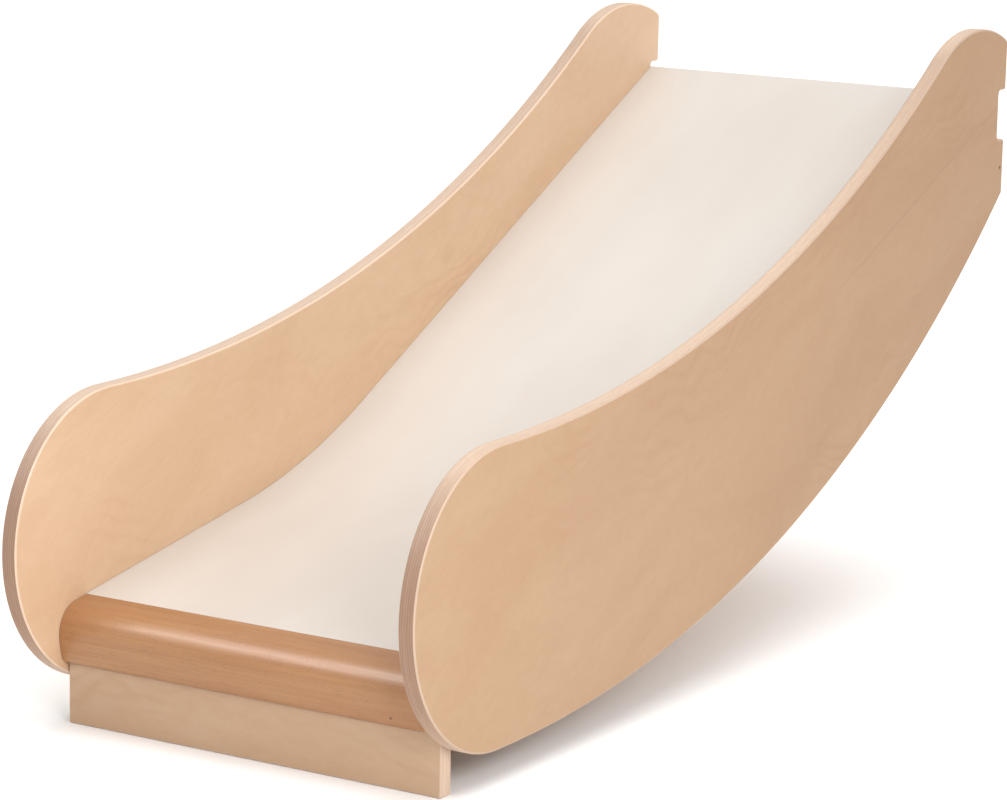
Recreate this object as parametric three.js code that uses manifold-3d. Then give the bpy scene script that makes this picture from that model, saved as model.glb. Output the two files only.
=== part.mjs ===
// Toddler slide for the edge of a low platform: two plywood side panels with hook notches, a
// bent plywood bed with a laminate facing let into grooves in the panels, a beech nose bar at
// the foot of the run, a foot board that stands on the floor, and the rails, dowels and screws
// that hold them together out of sight.
//
// Millimetres, +Z up, +X across the slide, +Y from the foot of the run to the platform. The
// origin is where the platform's rim sits: on the centre line, in the plane of the notches'
// walls, level with the notches' upper faces.

import * as THREE from "three";
import { mergeVertices } from "three/addons/utils/BufferGeometryUtils.js";
import Module from "manifold-3d";

const wasm = await Module();
wasm.setup();

// ---------------------------------------------------------------- driving dimensions

const overallWidth = 480; // over both side panels
const overallLength = 1230; // round front ends to the panels' rear edges
const rimTopHeight = 564; // the notches' upper faces, above the floor

const panelThickness = 18;
const panelRound = 2.5; // rounding of the panels' arrises
const frontRadius = 148; // round front end of a panel
const frontClearance = 34; // under the round front end
const flatRun = 12; // level stretch between the round end and the sweeps
const crownRadius = 162; // rounded top of a panel
const crownInset = 74; // crown centre to the rear edge
const crownDrop = 87.5; // crown centre below the notches' upper faces
const rearTopRound = 8;
const rearFootDrop = 62.6; // lower rear corner of a panel below its notch
const rearFootRound = 5;

const notchHeight = 57;
const notchDepth = 18;
const notchFillet = 5;
const notchLipRound = 3;

const lockHoleRadius = 2.5; // hole through each panel for a locking pin, under its notch
const lockHoleInset = 8;
const lockHoleDrop = 33;

const runOutSlope = THREE.MathUtils.degToRad(9.4);
const bendRadius = 750;
const bendPlace = 488; // where the run-out and the run would meet, from the front
const lipPlace = 109; // where the facing meets the nose bar
const lipHeight = 125.5;
const bedDrop = 5.3; // top end of the facing below the notches' upper faces
const boardThickness = 9;
const facingThickness = 1;
const grooveDepth = 7; // how far the panels are grooved for the bed

const noseLap = 15; // part of the nose bar under the bed
const noseFlat = 18; // flat top of the nose bar before its round
const noseRound = 30;
const noseFaceRadius = 75;
const noseHeel = 8; // round of the lower front corner

const footBoardHeight = 62.2;
const footBoardSetback = 13; // behind the face of the nose bar
const footBoardThickness = 18;
const footBoardEndGap = 2; // to each panel
const footBoardRound = 2;

const cleatSide = 24;
const cleatEndGap = 20;

const railWidth = 45;
const railDepth = 22;
const lowerRailPlace = 330; // from the front
const upperRailPlace = 760;
const rearRailThickness = 18;
const rearRailHeight = 52;

const dowelRadius = 4;
const dowelLength = 34;
const dowelChamfer = 1;
const dowelInPanel = 11; // part of a cross dowel that stands in a panel
const noseDowelPlaces = [
  [-25, -40], // from the lip
  [-5, -34],
];
const railDowelSpacing = 22;
const rearDowelSpacing = 26;
const footDowelSpacing = 147;

const screwRadius = 2;
const screwHeadRadius = 4;
const screwHeadHeight = 2.2;
const screwTipHeight = 4;
const screwTipRadius = 0.6;
const screwRecess = 0.5; // heads below the faces they are in
const railScrewLength = 27;
const railScrewSpacing = 300;
const cleatScrewLength = 35;
const cleatUpSpacing = 120;
const cleatForwardSpacing = 340;

const fit = 0.3; // clearance between pieces that touch
const endGap = 1; // left beyond the end of a dowel or a screw
const chordError = 0.12; // how far a facet may leave its arc
const turnedSides = 10;

const paleWood = { color: 0xdab893, roughness: 0.55, metalness: 0 };
const beech = { color: 0xc6946c, roughness: 0.38, metalness: 0 };
const hiddenWood = { color: 0xcfb08a, roughness: 0.7, metalness: 0 };
const laminate = { color: 0xefe6dc, roughness: 0.3, metalness: 0 };
const dowelWood = { color: 0xd9bd94, roughness: 0.75, metalness: 0 };
const zinc = { color: 0xb8b8b4, roughness: 0.35, metalness: 1 };

// ---------------------------------------------------------------- worked out from them

const insideWidth = overallWidth - 2 * panelThickness;
const betweenPanels = insideWidth - 2 * fit;
const bedWidth = insideWidth + 2 * (grooveDepth - fit);
const bedThickness = facingThickness + fit + boardThickness;
const notchWall = overallLength - notchDepth;
const notchFloorHeight = rimTopHeight - notchHeight;
const noseUnderside = footBoardHeight + fit;

// ---------------------------------------------------------------- outlines in the side view

// In the side view x runs up the slide from its front and y is the height above the floor.
const point = (x, y) => new THREE.Vector2(x, y);

// Points along an arc, both ends included.
function arc(centre, radius, from, to) {
  const step = 2 * Math.acos(1 - chordError / Math.max(radius, 4 * chordError));
  const count = Math.max(2, Math.ceil(Math.abs(to - from) / step));
  return Array.from({ length: count + 1 }, (_, i) => {
    const angle = from + ((to - from) * i) / count;
    return point(Math.cos(angle), Math.sin(angle)).multiplyScalar(radius).add(centre);
  });
}

// A rounded corner at p, on the way from a to b.
function rounded(a, p, b, radius) {
  const toA = a.clone().sub(p).normalize();
  const toB = b.clone().sub(p).normalize();
  const half = Math.acos(toA.dot(toB)) / 2;
  const centre = toA.clone().add(toB).setLength(radius / Math.sin(half)).add(p);
  const reach = radius / Math.tan(half);
  const from = p.clone().addScaledVector(toA, reach).sub(centre).angle();
  const to = p.clone().addScaledVector(toB, reach).sub(centre).angle();
  const turn = Math.atan2(Math.sin(to - from), Math.cos(to - from));
  return arc(centre, radius, from, from + turn);
}

// A side panel, anticlockwise from the foot of its round front end.
function panelOutline() {
  const start = frontRadius + flatRun;
  const run = overallLength - start;

  const rearFoot = point(overallLength, notchFloorHeight - rearFootDrop);
  const rise = rearFoot.y - frontClearance;
  const bellyRadius = (run ** 2 + rise ** 2) / (2 * rise);
  const bellyTurn = Math.asin((run - 2 * rearFootRound) / bellyRadius);
  const belly = arc(
    point(start, frontClearance + bellyRadius),
    bellyRadius,
    -Math.PI / 2,
    bellyTurn - Math.PI / 2,
  );

  const topHeight = frontClearance + 2 * frontRadius;
  const crown = point(overallLength - crownInset, rimTopHeight - crownDrop);
  const crownRun = crown.x - start;
  const crownRise = crown.y - topHeight;
  const hollowRadius =
    (crownRun ** 2 + crownRise ** 2 - crownRadius ** 2) / (2 * (crownRadius + crownRise));
  const hollow = point(start, topHeight + hollowRadius);
  const toHollow = hollow.clone().sub(crown).angle();

  const cornerReach = crownRadius - rearTopRound;
  const cornerInset = crownInset - rearTopRound;
  const cornerRise = Math.sqrt(cornerReach ** 2 - cornerInset ** 2);
  const corner = point(overallLength - rearTopRound, crown.y + cornerRise);
  const toCorner = corner.clone().sub(crown).angle();

  const lowerLip = point(overallLength, notchFloorHeight);
  const lowerCorner = point(notchWall, notchFloorHeight);
  const upperCorner = point(notchWall, rimTopHeight);
  const upperLip = point(overallLength, rimTopHeight);

  const nose = point(frontRadius, frontClearance + frontRadius);
  return [
    ...belly,
    ...rounded(belly.at(-1), rearFoot, lowerLip, rearFootRound),
    ...rounded(rearFoot, lowerLip, lowerCorner, notchLipRound),
    ...rounded(lowerLip, lowerCorner, upperCorner, notchFillet),
    ...rounded(lowerCorner, upperCorner, upperLip, notchFillet),
    ...rounded(upperCorner, upperLip, point(overallLength, corner.y), notchLipRound),
    ...arc(corner, rearTopRound, 0, toCorner),
    ...arc(crown, crownRadius, toCorner, toHollow).slice(1),
    ...arc(hollow, hollowRadius, toHollow - Math.PI, -Math.PI / 2).slice(1),
    ...arc(nose, frontRadius, Math.PI / 2, (3 * Math.PI) / 2),
  ];
}

// The slide's surface: a straight run-out from the lip, a bend and a straight run.
const lip = point(lipPlace, lipHeight);
const along = point(Math.cos(runOutSlope), Math.sin(runOutSlope));
const upward = point(-along.y, along.x);
const meet = point(bendPlace, lip.y + (bendPlace - lip.x) * Math.tan(runOutSlope));
const runSlope = Math.atan2(rimTopHeight - bedDrop - meet.y, notchWall - meet.x);
const bendReach = bendRadius * Math.tan((runSlope - runOutSlope) / 2);
const bend = meet
  .clone()
  .addScaledVector(along, -bendReach)
  .addScaledVector(upward, bendRadius);

// A point on the run-out, a distance behind the lip and at a depth below the surface.
const onRunOut = (distance, depth) =>
  lip.clone().addScaledVector(along, distance).addScaledVector(upward, -depth);

// The height and slope of a layer at a depth below the surface, at place x.
function layerAt(x, depth) {
  const radius = bendRadius + depth;
  const least = Math.sin(runOutSlope);
  const most = Math.sin(runSlope);
  const slope = Math.asin(THREE.MathUtils.clamp((x - bend.x) / radius, least, most));
  const touch = point(Math.sin(slope), -Math.cos(slope)).multiplyScalar(radius).add(bend);
  return { height: touch.y + (x - touch.x) * Math.tan(slope), slope };
}

// The part of the bed between two depths, from a distance behind the lip up to place x.
function bedLayer(top, bottom, distance, x) {
  const quarter = Math.PI / 2;
  const edge = (depth) => [
    onRunOut(distance, depth),
    ...arc(bend, bendRadius + depth, runOutSlope - quarter, runSlope - quarter),
    point(x, layerAt(x, depth).height),
  ];
  return [...edge(bottom), ...edge(top).reverse()];
}

// The nose bar, with a rebate behind its lip for the end of the bed.
const noseRoll = onRunOut(-noseFlat, noseRound);
const noseFront = noseRoll.x - noseRound;
const noseBack = lipPlace + noseLap;

function noseOutline() {
  const face = point(noseFront + noseFaceRadius, noseRoll.y);
  const heelY = noseUnderside + noseHeel;
  const heelReach = noseFaceRadius - noseHeel;
  const heel = point(face.x - Math.sqrt(heelReach ** 2 - (heelY - face.y) ** 2), heelY);
  const toHeel = heel.clone().sub(face).angle();
  const rebate = bedThickness + fit;
  return [
    lip,
    ...arc(noseRoll, noseRound, Math.PI / 2 + runOutSlope, Math.PI),
    ...arc(face, noseFaceRadius, Math.PI, toHeel).slice(1),
    ...arc(heel, noseHeel, toHeel, (3 * Math.PI) / 2).slice(1),
    point(noseBack, noseUnderside),
    point(noseBack, layerAt(noseBack, rebate).height),
    onRunOut(0, rebate),
  ];
}

const rectangle = (left, right, low, high) => [
  point(left, low),
  point(right, low),
  point(right, high),
  point(left, high),
];

// A rail square to the underside of the bed.
function railAt(x) {
  const { height, slope } = layerAt(x, bedThickness + fit);
  const down = point(Math.sin(slope), -Math.cos(slope));
  const across = point(Math.cos(slope), Math.sin(slope));
  const at = (distance, depth) =>
    point(x, height).addScaledVector(across, distance).addScaledVector(down, depth);
  return { at, up: down.clone().negate() };
}

// ---------------------------------------------------------------- solids

// A board across the slide, centred, from its outline; its end arrises may be rounded.
function board(outline, width, round = 0) {
  const geometry = new THREE.ExtrudeGeometry(new THREE.Shape(outline), {
    depth: width - 2 * round,
    bevelEnabled: round > 0,
    bevelThickness: round,
    bevelSize: round,
    bevelOffset: -round,
    bevelSegments: 2,
  });
  return geometry.translate(0, 0, round - width / 2);
}

// A turned piece along z from [radius, z] pairs that start and end on the axis.
function turned(profile) {
  const points = profile.map(([radius, z]) => point(radius, z));
  return new THREE.LatheGeometry(points, turnedSides).rotateX(Math.PI / 2);
}

// A dowel about its middle; its hole is wider by a clearance and longer by an end gap.
function dowel(gap = 0, end = 0) {
  const radius = dowelRadius + gap;
  const half = dowelLength / 2 + end;
  return turned([
    [0, -half],
    [radius - dowelChamfer, -half],
    [radius, dowelChamfer - half],
    [radius, half - dowelChamfer],
    [radius - dowelChamfer, half],
    [0, half],
  ]);
}

// A countersunk screw along z from the face it is sunk in; its hole is open at that face.
function screw(length, gap = 0, end = 0) {
  const head = screwHeadRadius + gap;
  const shank = screwRadius + gap;
  const mouth = gap > 0 ? [[0, -end], [head, -end]] : [[0, screwRecess]];
  return turned([
    ...mouth,
    [head, screwRecess],
    [shank, screwRecess + screwHeadHeight],
    [shank, length - screwTipHeight],
    [screwTipRadius + gap, length + end],
    [0, length + end],
  ]);
}

function toSolid(geometry) {
  const bare = geometry.clone();
  bare.deleteAttribute("normal");
  bare.deleteAttribute("uv");
  const merged = mergeVertices(bare, 1e-4);
  return new wasm.Manifold(
    new wasm.Mesh({
      numProp: 3,
      vertProperties: Float32Array.from(merged.attributes.position.array),
      triVerts: Uint32Array.from(merged.index.array),
    }),
  );
}

function toGeometry(solid) {
  const mesh = solid.getMesh();
  const geometry = new THREE.BufferGeometry();
  const positions = Float32Array.from(mesh.vertProperties);
  geometry.setAttribute("position", new THREE.BufferAttribute(positions, 3));
  geometry.setIndex(new THREE.BufferAttribute(Uint32Array.from(mesh.triVerts), 1));
  geometry.computeVertexNormals();
  return geometry;
}

const cut = (geometry, tools) =>
  toGeometry(tools.reduce((solid, tool) => solid.subtract(toSolid(tool)), toSolid(geometry)));

// ---------------------------------------------------------------- dowels and screws

const fasteners = [];

function addFastener(name, look, shape, hole, place, direction) {
  const zAxis = new THREE.Vector3(0, 0, 1);
  const turn = new THREE.Quaternion().setFromUnitVectors(zAxis, direction);
  for (const geometry of [shape, hole]) {
    geometry.applyQuaternion(turn).translate(place.x, place.y, place.z);
  }
  fasteners.push({ name, look, shape, hole });
}

const addDowel = (name, place, direction) =>
  addFastener(name, dowelWood, dowel(), dowel(fit, endGap), place, direction);

const addScrew = (name, length, place, direction) =>
  addFastener(name, zinc, screw(length), screw(length, fit, endGap), place, direction);

// A dowel across each joint between a panel and a cross piece, at a point of the side view.
function addCrossDowels(name, places) {
  const middle = insideWidth / 2 + dowelInPanel - dowelLength / 2;
  places.forEach(({ x, y }, i) => {
    for (const [side, end] of [["left", -1], ["right", 1]]) {
      const place = new THREE.Vector3(x, y, end * middle);
      addDowel(`${name}_dowel_${side}_${i + 1}`, place, new THREE.Vector3(0, 0, end));
    }
  });
}

const rails = { lower_rail: railAt(lowerRailPlace), upper_rail: railAt(upperRailPlace) };
const footBoardFront = noseFront + footBoardSetback;
const footBoardBack = footBoardFront + footBoardThickness;
const cleatFront = footBoardBack + fit;
const cleatFoot = footBoardHeight - cleatSide;
const rearRailFront = notchWall - rearRailThickness;
const rearRailTop = (x) => layerAt(x, bedThickness + fit).height;
const rearRailFoot = rearRailTop(rearRailFront) - rearRailHeight;

addCrossDowels(
  "nose",
  noseDowelPlaces.map(([x, y]) => point(x, y).add(lip)),
);
for (const [name, { at, up }] of Object.entries(rails)) {
  addCrossDowels(name, [
    at(-railDowelSpacing / 2, railDepth / 2),
    at(railDowelSpacing / 2, railDepth / 2),
  ]);
  const face = at(0, railDepth);
  for (const [i, end] of [-1, 1].entries()) {
    const place = new THREE.Vector3(face.x, face.y, (end * railScrewSpacing) / 2);
    const direction = new THREE.Vector3(up.x, up.y, 0);
    addScrew(`${name}_screw_${i + 1}`, railScrewLength, place, direction);
  }
}
const rearDowelX = rearRailFront + rearRailThickness / 2;
const rearDowelY = rearRailFoot + rearRailHeight / 2;
addCrossDowels("rear_rail", [
  point(rearDowelX, rearDowelY - rearDowelSpacing / 2),
  point(rearDowelX, rearDowelY + rearDowelSpacing / 2),
]);

for (const [i, step] of [-1, 0, 1].entries()) {
  const x = footBoardFront + footBoardThickness / 2;
  const place = new THREE.Vector3(x, noseUnderside, step * footDowelSpacing);
  addDowel(`foot_dowel_${i + 1}`, place, new THREE.Vector3(0, 1, 0));
}
for (const [i, end] of [-1, 1].entries()) {
  const x = cleatFront + cleatSide / 2;
  const under = new THREE.Vector3(x, cleatFoot, (end * cleatUpSpacing) / 2);
  const y = cleatFoot + cleatSide / 2;
  const behind = new THREE.Vector3(
    cleatFront + cleatSide,
    y,
    (end * cleatForwardSpacing) / 2,
  );
  const up = new THREE.Vector3(0, 1, 0);
  const forward = new THREE.Vector3(-1, 0, 0);
  addScrew(`cleat_screw_up_${i + 1}`, cleatScrewLength, under, up);
  addScrew(`cleat_screw_forward_${i + 1}`, cleatScrewLength, behind, forward);
}

// ---------------------------------------------------------------- the assembly

const slide = new THREE.Group();

// Everything is drawn in the side view, with z across the slide, and this group stands it up.
const standing = new THREE.Group();
standing.setRotationFromMatrix(
  new THREE.Matrix4().makeBasis(
    new THREE.Vector3(0, 1, 0),
    new THREE.Vector3(0, 0, 1),
    new THREE.Vector3(1, 0, 0),
  ),
);
standing.position.set(0, -notchWall, -rimTopHeight);
slide.add(standing);

function add(name, geometry, look) {
  const mesh = new THREE.Mesh(geometry, new THREE.MeshStandardMaterial(look));
  mesh.name = name;
  standing.add(mesh);
}

const holes = fasteners.map(({ hole }) => hole);

const groove = board(
  bedLayer(-fit, bedThickness + fit, 0, notchWall + endGap),
  insideWidth + 2 * grooveDepth,
);
const lockHole = turned([
  [0, -overallWidth],
  [lockHoleRadius, -overallWidth],
  [lockHoleRadius, overallWidth],
  [0, overallWidth],
]).translate(overallLength - lockHoleInset, notchFloorHeight - lockHoleDrop, 0);

for (const [name, end] of [["side_panel_left", -1], ["side_panel_right", 1]]) {
  const panel = board(panelOutline(), panelThickness, panelRound);
  panel.translate(0, 0, (end * (overallWidth - panelThickness)) / 2);
  add(name, cut(panel, [groove, lockHole, ...holes]), paleWood);
}

const boardLayer = bedLayer(facingThickness + fit, bedThickness, fit, notchWall);
add("bed_board", cut(board(boardLayer, bedWidth), holes), hiddenWood);
add("slide_facing", board(bedLayer(0, facingThickness, fit, notchWall), bedWidth), laminate);
add("nose_bar", cut(board(noseOutline(), betweenPanels), holes), beech);

const footFront = point(footBoardFront, 0);
const footBack = point(footBoardBack, 0);
const footTopBack = point(footBoardBack, footBoardHeight);
const footTopFront = point(footBoardFront, footBoardHeight);
const footOutline = [
  ...rounded(footTopFront, footFront, footBack, footBoardRound),
  ...rounded(footFront, footBack, footTopBack, footBoardRound),
  footTopBack,
  footTopFront,
];
const footBoardWidth = insideWidth - 2 * footBoardEndGap;
add("foot_board", cut(board(footOutline, footBoardWidth), holes), paleWood);

const cleatOutline = rectangle(
  cleatFront,
  cleatFront + cleatSide,
  cleatFoot,
  footBoardHeight,
);
add("foot_cleat", cut(board(cleatOutline, insideWidth - 2 * cleatEndGap), holes), hiddenWood);

for (const [name, { at }] of Object.entries(rails)) {
  const half = railWidth / 2;
  const outline = [at(-half, railDepth), at(half, railDepth), at(half, 0), at(-half, 0)];
  add(name, cut(board(outline, betweenPanels), holes), hiddenWood);
}

const rearRailOutline = [
  point(rearRailFront, rearRailFoot),
  point(notchWall, rearRailFoot),
  point(notchWall, rearRailTop(notchWall)),
  point(rearRailFront, rearRailTop(rearRailFront)),
];
add("rear_rail", cut(board(rearRailOutline, betweenPanels), holes), hiddenWood);

for (const { name, shape, look } of fasteners) add(name, shape, look);

export default slide;
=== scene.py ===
"""Toddler slide: finely rounded boards, a smooth bed, screws and their finishes, built on a frame."""

import math

import bmesh
import bpy
import numpy as np
from bpy.props import FloatProperty, FloatVectorProperty, IntProperty, PointerProperty
from mathutils import Matrix, Vector


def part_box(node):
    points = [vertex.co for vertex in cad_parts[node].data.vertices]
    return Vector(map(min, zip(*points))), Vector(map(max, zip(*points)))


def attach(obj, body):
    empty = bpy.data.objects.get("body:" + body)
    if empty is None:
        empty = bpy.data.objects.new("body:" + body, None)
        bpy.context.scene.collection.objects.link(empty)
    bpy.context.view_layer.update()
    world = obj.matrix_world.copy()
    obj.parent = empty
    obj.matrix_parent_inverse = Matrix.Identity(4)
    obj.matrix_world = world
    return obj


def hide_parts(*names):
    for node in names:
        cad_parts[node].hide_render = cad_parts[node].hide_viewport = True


bl_info = {
    "name": "Toddler slide",
    "version": (1, 0, 0),
    "blender": (4, 5, 0),
    "location": "View3D > Sidebar > Slide",
    "description": "Builds the visible pieces of a plywood toddler slide around its frame",
    "category": "Add Mesh",
}

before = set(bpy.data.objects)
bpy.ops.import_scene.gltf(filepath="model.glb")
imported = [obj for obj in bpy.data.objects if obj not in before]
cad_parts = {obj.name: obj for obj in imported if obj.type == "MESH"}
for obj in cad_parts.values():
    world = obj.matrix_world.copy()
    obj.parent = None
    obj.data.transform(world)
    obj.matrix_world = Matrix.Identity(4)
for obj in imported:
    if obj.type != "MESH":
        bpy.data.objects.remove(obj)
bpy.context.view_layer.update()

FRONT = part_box("side_panel_right")[0].y  # front of the panels, in the frame
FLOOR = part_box("foot_board")[0].z
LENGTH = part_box("side_panel_right")[1].y - FRONT
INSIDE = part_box("side_panel_right")[0].x  # centre line to a panel's inner face
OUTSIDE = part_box("side_panel_right")[1].x
NOTCH_WALL = -FRONT  # the frame's origin lies in the notches' walls
RIM_TOP = -FLOOR
GAP = 0.0003  # clearance between pieces that touch


def srgb(*levels):
    """A colour given as it looks on screen, 0 to 255, as linear light."""
    screen = [level / 255 for level in levels]
    return tuple(c / 12.92 if c <= 0.04045 else ((c + 0.055) / 1.055) ** 2.4 for c in screen)


def length(name, description, default):
    """A size that a user can change, in metres."""
    return FloatProperty(
        name=name, description=description, default=default, unit="LENGTH", subtype="DISTANCE", precision=4
    )


def colour(name, description, *default):
    """A colour that a user can change, given as it looks on screen."""
    return FloatVectorProperty(
        name=name, description=description, default=srgb(*default), subtype="COLOR", min=0, max=1
    )


def veneers(description, default):
    """How many veneers a sheet is glued from."""
    return IntProperty(name="Plies", description=description, default=default, min=3, max=21)


def strength(name, description, default, unit="NONE"):
    """How strong a light is."""
    return FloatProperty(name=name, description=description, default=default, min=0, unit=unit)


# ---- settings


class PanelSettings(bpy.types.PropertyGroup):
    """Outline of the side panels."""

    arris: length("Arris", "Rounding of the panels' arrises", 0.0025)
    front_radius: length("Front radius", "Radius of the round front end", 0.148)
    clearance: length("Clearance", "Under the round front end", 0.034)
    flat_run: length("Flat run", "Level stretch between the round end and the sweeps", 0.012)
    crown_radius: length("Crown radius", "Rounded top of a panel", 0.162)
    crown_inset: length("Crown inset", "Crown centre to the rear edge", 0.074)
    crown_drop: length("Crown drop", "Crown centre below the top of the notch", 0.0875)
    top_round: length("Top round", "Rounding of the upper rear corner", 0.008)
    foot_drop: length("Foot drop", "Lower rear corner below the notch", 0.0626)
    foot_round: length("Foot round", "Rounding of the lower rear corner", 0.005)
    notch_height: length("Notch height", "Height of the hook notch", 0.057)
    notch_fillet: length("Notch fillet", "Rounding inside the notch", 0.005)
    notch_lip: length("Notch lip", "Rounding of the notch's lips", 0.003)
    groove_depth: length("Groove depth", "Groove for the bed", 0.007)
    hole_radius: length("Hole radius", "Hole for a locking pin", 0.0025)
    hole_inset: length("Hole inset", "Hole to the rear edge", 0.008)
    hole_drop: length("Hole drop", "Hole below the notch", 0.033)
    plies: veneers("Veneers in the sheet", 13)


class BedSettings(bpy.types.PropertyGroup):
    """Profile of the bed that is slid on."""

    run_out: FloatProperty(
        name="Run-out slope", description="Slope of the run-out", default=math.radians(9.4), subtype="ANGLE"
    )
    bend_radius: length("Bend radius", "Radius between the run and the run-out", 0.75)
    bend_place: length("Bend place", "Where run and run-out would meet, from the front", 0.488)
    lip_place: length("Lip place", "Where the facing meets the nose bar, from the front", 0.109)
    lip_height: length("Lip height", "Height of that line above the floor", 0.1255)
    top_drop: length("Top drop", "Top end of the bed below the top of the notch", 0.0053)
    facing: length("Facing", "Thickness of the laminate", 0.001)
    board: length("Board", "Thickness of the bent plywood", 0.009)
    facing_arris: length("Facing arris", "Rounding of the laminate's sides", 0.0002)
    board_arris: length("Board arris", "Rounding of the bent plywood's sides", 0.0006)
    plies: veneers("Veneers in the bent board", 7)


class CrossSettings(bpy.types.PropertyGroup):
    """Pieces that lie across the slide."""

    nose_flat: length("Nose flat", "Flat top of the nose bar before its round", 0.018)
    nose_round: length("Nose round", "Upper round of the nose bar", 0.030)
    nose_face: length("Nose face", "Radius of the nose bar's face", 0.075)
    nose_heel: length("Nose heel", "Lower round of the nose bar", 0.008)
    nose_arris: length("Nose arris", "Rounding of the nose bar's ends", 0.0008)
    board_arris: length("Board arris", "Rounding of the foot board", 0.0015)
    batten_arris: length("Batten arris", "Rounding of the battens", 0.0012)
    plies: veneers("Veneers in the foot board and rear rail", 13)


class FinishSettings(bpy.types.PropertyGroup):
    """Colours of the pieces."""

    veneer: colour("Veneer", "Pale part of the face veneer", 217, 185, 153)
    veneer_deep: colour("Veneer figure", "Darker figure of the face veneer", 203, 166, 131)
    ply: colour("Ply", "Long grain veneers seen at an edge", 216, 194, 173)
    ply_deep: colour("Ply end grain", "End grain veneers seen at an edge", 186, 154, 130)
    facing: colour("Facing", "Laminate", 211, 204, 196)
    facing_deep: colour("Facing shade", "Clouding of the laminate", 205, 196, 187)
    beech: colour("Beech", "Pale part of the nose bar", 174, 128, 87)
    beech_deep: colour("Beech grain", "Darker grain of the nose bar", 153, 103, 64)
    batten: colour("Batten", "Pale part of the battens", 205, 175, 136)
    batten_deep: colour("Batten grain", "Darker grain of the battens", 181, 143, 100)
    steel: colour("Screws", "Zinc plate", 196, 197, 196)


class StageSettings(bpy.types.PropertyGroup):
    """Floor, lights and camera."""

    floor: colour("Floor", "Pale studio floor", 250, 250, 250)
    sky: strength("Sky", "Light from all round", 0.77)
    top: strength("Top light", "Soft light from above", 1.65)
    gloss: strength("Gloss light", "Reflection on the nose bar", 16, "POWER")
    right: strength("Right light", "Light at the right", 23, "POWER")
    side: strength("Side light", "Light beside the slide", 10, "POWER")


# ---- outlines in the side view

# A point of the side view is (distance from the front, height above the floor), in metres.

# Points along each kind of curve.
SWEEP_POINTS = 150
END_POINTS = 90
BEND_POINTS = 64
CROWN_POINTS = 40
ROLL_POINTS = 24
FACE_POINTS = 16
SMALL_POINTS = 10


def arc(centre, radius, start, end, count):
    """Points along an arc, both ends included."""
    angles = [start + (end - start) * i / count for i in range(count + 1)]
    return [centre + radius * Vector((math.cos(a), math.sin(a))) for a in angles]


def angle_of(vector):
    """The way a vector points, in radians from level."""
    return math.atan2(vector.y, vector.x)


def rounded(before, corner, after, radius, count=8):
    """A rounded corner, on the way from one point to another."""
    to_before = (before - corner).normalized()
    to_after = (after - corner).normalized()
    half = to_before.angle(to_after) / 2
    centre = corner + (to_before + to_after).normalized() * radius / math.sin(half)
    reach = radius / math.tan(half)
    start = angle_of(corner + to_before * reach - centre)
    turn = angle_of(corner + to_after * reach - centre) - start
    turn = math.atan2(math.sin(turn), math.cos(turn))
    return arc(centre, radius, start, start + turn, count)


def round_all(corners, radius, count=5):
    """A closed outline with every corner rounded."""
    points = []
    for i, corner in enumerate(corners):
        points += rounded(corners[i - 1], corner, corners[(i + 1) % len(corners)], radius, count)
    return points


def panel_outline(p):
    """A side panel, anticlockwise from the foot of its round front end."""
    start = p.front_radius + p.flat_run
    run = LENGTH - start
    notch_floor = RIM_TOP - p.notch_height
    rear_foot = Vector((LENGTH, notch_floor - p.foot_drop))
    rise = rear_foot.y - p.clearance
    belly = (run**2 + rise**2) / (2 * rise)
    turn = math.asin((run - 2 * p.foot_round) / belly)
    quarter = math.pi / 2
    bottom = arc(Vector((start, p.clearance + belly)), belly, -quarter, turn - quarter, SWEEP_POINTS)

    front = Vector((p.front_radius, p.clearance + p.front_radius))
    top = p.clearance + 2 * p.front_radius
    crown = Vector((LENGTH - p.crown_inset, RIM_TOP - p.crown_drop))
    over, up = crown.x - start, crown.y - top
    hollow = (over**2 + up**2 - p.crown_radius**2) / (2 * (p.crown_radius + up))
    hollow_centre = Vector((start, top + hollow))
    to_hollow = angle_of(hollow_centre - crown)
    inset = p.crown_inset - p.top_round
    height = math.sqrt((p.crown_radius - p.top_round) ** 2 - inset**2)
    corner = Vector((LENGTH - p.top_round, crown.y + height))
    to_corner = angle_of(corner - crown)

    low_lip, low = Vector((LENGTH, notch_floor)), Vector((NOTCH_WALL, notch_floor))
    high, high_lip = Vector((NOTCH_WALL, RIM_TOP)), Vector((LENGTH, RIM_TOP))
    return [
        *bottom,
        *rounded(bottom[-1], rear_foot, low_lip, p.foot_round),
        *rounded(rear_foot, low_lip, low, p.notch_lip),
        *rounded(low_lip, low, high, p.notch_fillet),
        *rounded(low, high, high_lip, p.notch_fillet),
        *rounded(high, high_lip, corner, p.notch_lip),
        *arc(corner, p.top_round, 0, to_corner, SMALL_POINTS),
        *arc(crown, p.crown_radius, to_corner, to_hollow, CROWN_POINTS)[1:],
        *arc(hollow_centre, hollow, to_hollow - math.pi, -quarter, SWEEP_POINTS)[1:],
        *arc(front, p.front_radius, quarter, 3 * quarter, END_POINTS),
    ]


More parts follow.
